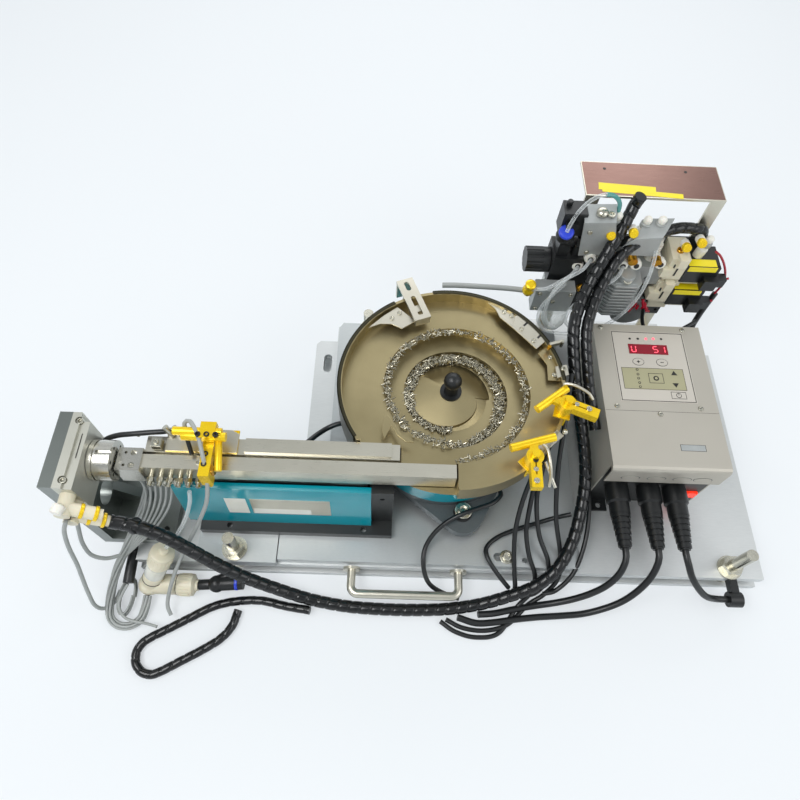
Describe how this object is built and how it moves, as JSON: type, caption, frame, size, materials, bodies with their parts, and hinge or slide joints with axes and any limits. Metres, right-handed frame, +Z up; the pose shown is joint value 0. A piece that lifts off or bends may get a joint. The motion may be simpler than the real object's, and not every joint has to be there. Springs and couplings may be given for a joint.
{
  "type": "automatic screw feeder",
  "caption": "Vibratory bowl and linear track that feed screws to an indexing disc, on a two-layer base with a controller and an air service unit.",
  "frame": {"origin": "middle of the underside of the lower base plate", "axes": "+X along the base to the controller, away from the indexing disc; +Y from the front handle towards the air service unit; +Z up"},
  "size_m": [0.708, 0.4936, 0.2558],
  "materials": {
    "base_plate": "satin anodised",
    "deck_plate": "satin anodised",
    "screw_steel": "zinc plated",
    "steel": "satin",
    "rubber": "matt",
    "casting": "painted grey",
    "teal_paint": "powder coat",
    "iron": "laminated iron, varnished",
    "aluminium": "machined",
    "bowl_anodised": "champagne anodised",
    "black_plastic": "moulded",
    "gold_anodised": "gold anodised",
    "black_sheet": "powder coat",
    "track_steel": "ground",
    "dark_steel": "ground",
    "white_plastic": "moulded",
    "champagne_cover": "metallic, satin",
    "board": "solder mask",
    "red_plastic": "lit, glossy",
    "panel_sheet": "grey",
    "cream_plastic": "moulded",
    "brass_knob": "knurled",
    "clear_bowl": "clear",
    "black_wrap": "flexible",
    "grey_cable": "flexible"
  },
  "bodies": {
    "base": {"lower_plate": "base_plate", "upper_plate": "base_plate", "clamp_studs": "screw_steel", "clamp_hardware": "screw_steel", "deck_plates": "deck_plate", "front_handle": "steel", "rubber_feet": "rubber", "drive_base": "casting", "drive_skirt": "teal_paint", "spring_packs": "steel", "drive_magnets": "iron", "feeder_base": "casting", "feeder_cover": "teal_paint", "feeder_end": "black_sheet", "escapement_column": "dark_steel", "rotary_actuator": "aluminium", "actuator_elbows": "white_plastic", "controller_case": "black_sheet", "controller_cover": "champagne_cover", "controller_board": "board", "controller_sockets": "black_plastic", "cable_plugs": "black_plastic", "handle_bracket": "steel", "pneumatic_panel": "panel_sheet", "valve_manifold": "aluminium", "solenoid_valves": "cream_plastic", "speed_controllers": "white_plastic", "regulator_body": "black_plastic", "filter_bowl": "clear_bowl", "silencer": "aluminium", "inline_filters": "cream_plastic", "harness": "black_wrap", "harness_branch": "black_wrap", "harness_loop": "black_wrap", "plug_cable_left": "black_wrap", "plug_cable_middle": "black_wrap", "plug_cable_right": "black_wrap", "bowl_cable": "black_wrap", "track_cable": "black_wrap", "sensor_cables": "grey_cable", "rail_hoses": "black_wrap"},
    "bowl_body": {"drive_top": "aluminium", "bowl": "bowl_anodised", "bowl_knob": "black_plastic", "bowl_wipers": "steel", "bowl_bracket": "steel", "jet_posts": "gold_anodised"},
    "jet_1": {"jet_arm_1": "gold_anodised"},
    "jet_2": {"jet_arm_2": "gold_anodised"},
    "line": {"feeder_top_bar": "aluminium", "track_rails": "track_steel", "track_end_block": "track_steel", "track_jets": "steel", "track_clamp": "gold_anodised"},
    "disc": {"index_disc": "track_steel"},
    "rocker": {"rocker_switch": "red_plastic"},
    "knob_1": {"speed_knob_1": "brass_knob"},
    "knob_2": {"speed_knob_2": "brass_knob"},
    "knob_3": {"speed_knob_3": "brass_knob"},
    "regulator_turn": {"regulator_knob": "black_plastic"}
  },
  "joints": [
    {"name": "bowl_twist", "type": "hinge", "parent": "base", "child": "bowl_body", "pos_m": [-0.013, -0.018, 0.118], "axis": [0, 0, 1], "range_deg": [-0.5, 0.5], "stiffness_Nm_per_rad": 120},
    {"name": "jet_1_swivel", "type": "hinge", "parent": "bowl_body", "child": "jet_1", "pos_m": [0.09373, -0.0466, 0.183], "axis": [0, 0, 1], "range_deg": [-30, 30]},
    {"name": "jet_2_swivel", "type": "hinge", "parent": "bowl_body", "child": "jet_2", "pos_m": [0.05803, -0.10265, 0.183], "axis": [0, 0, 1], "range_deg": [-30, 30]},
    {"name": "line_shake", "type": "slide", "parent": "base", "child": "line", "axis": [1, 0, 0], "range_m": [-0.0005, 0.0005], "stiffness_N_per_m": 20000},
    {"name": "disc_index", "type": "hinge", "parent": "base", "child": "disc", "pos_m": [-0.334, -0.11, 0.1585], "axis": [1, 0, 0], "range_deg": [0, 180]},
    {"name": "rocker_tilt", "type": "hinge", "parent": "base", "child": "rocker", "pos_m": [0.2555, -0.082, 0.056], "axis": [0, 0, 1], "range_deg": [-14, 0]},
    {"name": "knob_1_turn", "type": "hinge", "parent": "base", "child": "knob_1", "pos_m": [0.153, 0.134, 0.19], "axis": [0, 1, 0], "continuous": true},
    {"name": "knob_2_turn", "type": "hinge", "parent": "base", "child": "knob_2", "pos_m": [0.181, 0.134, 0.19], "axis": [0, 1, 0], "continuous": true},
    {"name": "knob_3_turn", "type": "hinge", "parent": "base", "child": "knob_3", "pos_m": [0.207, 0.134, 0.19], "axis": [0, 1, 0], "continuous": true},
    {"name": "regulator_knob_turn", "type": "hinge", "parent": "base", "child": "regulator_turn", "pos_m": [0.0955, 0.144, 0.17], "axis": [1, 0, 0], "continuous": true}
  ]
}
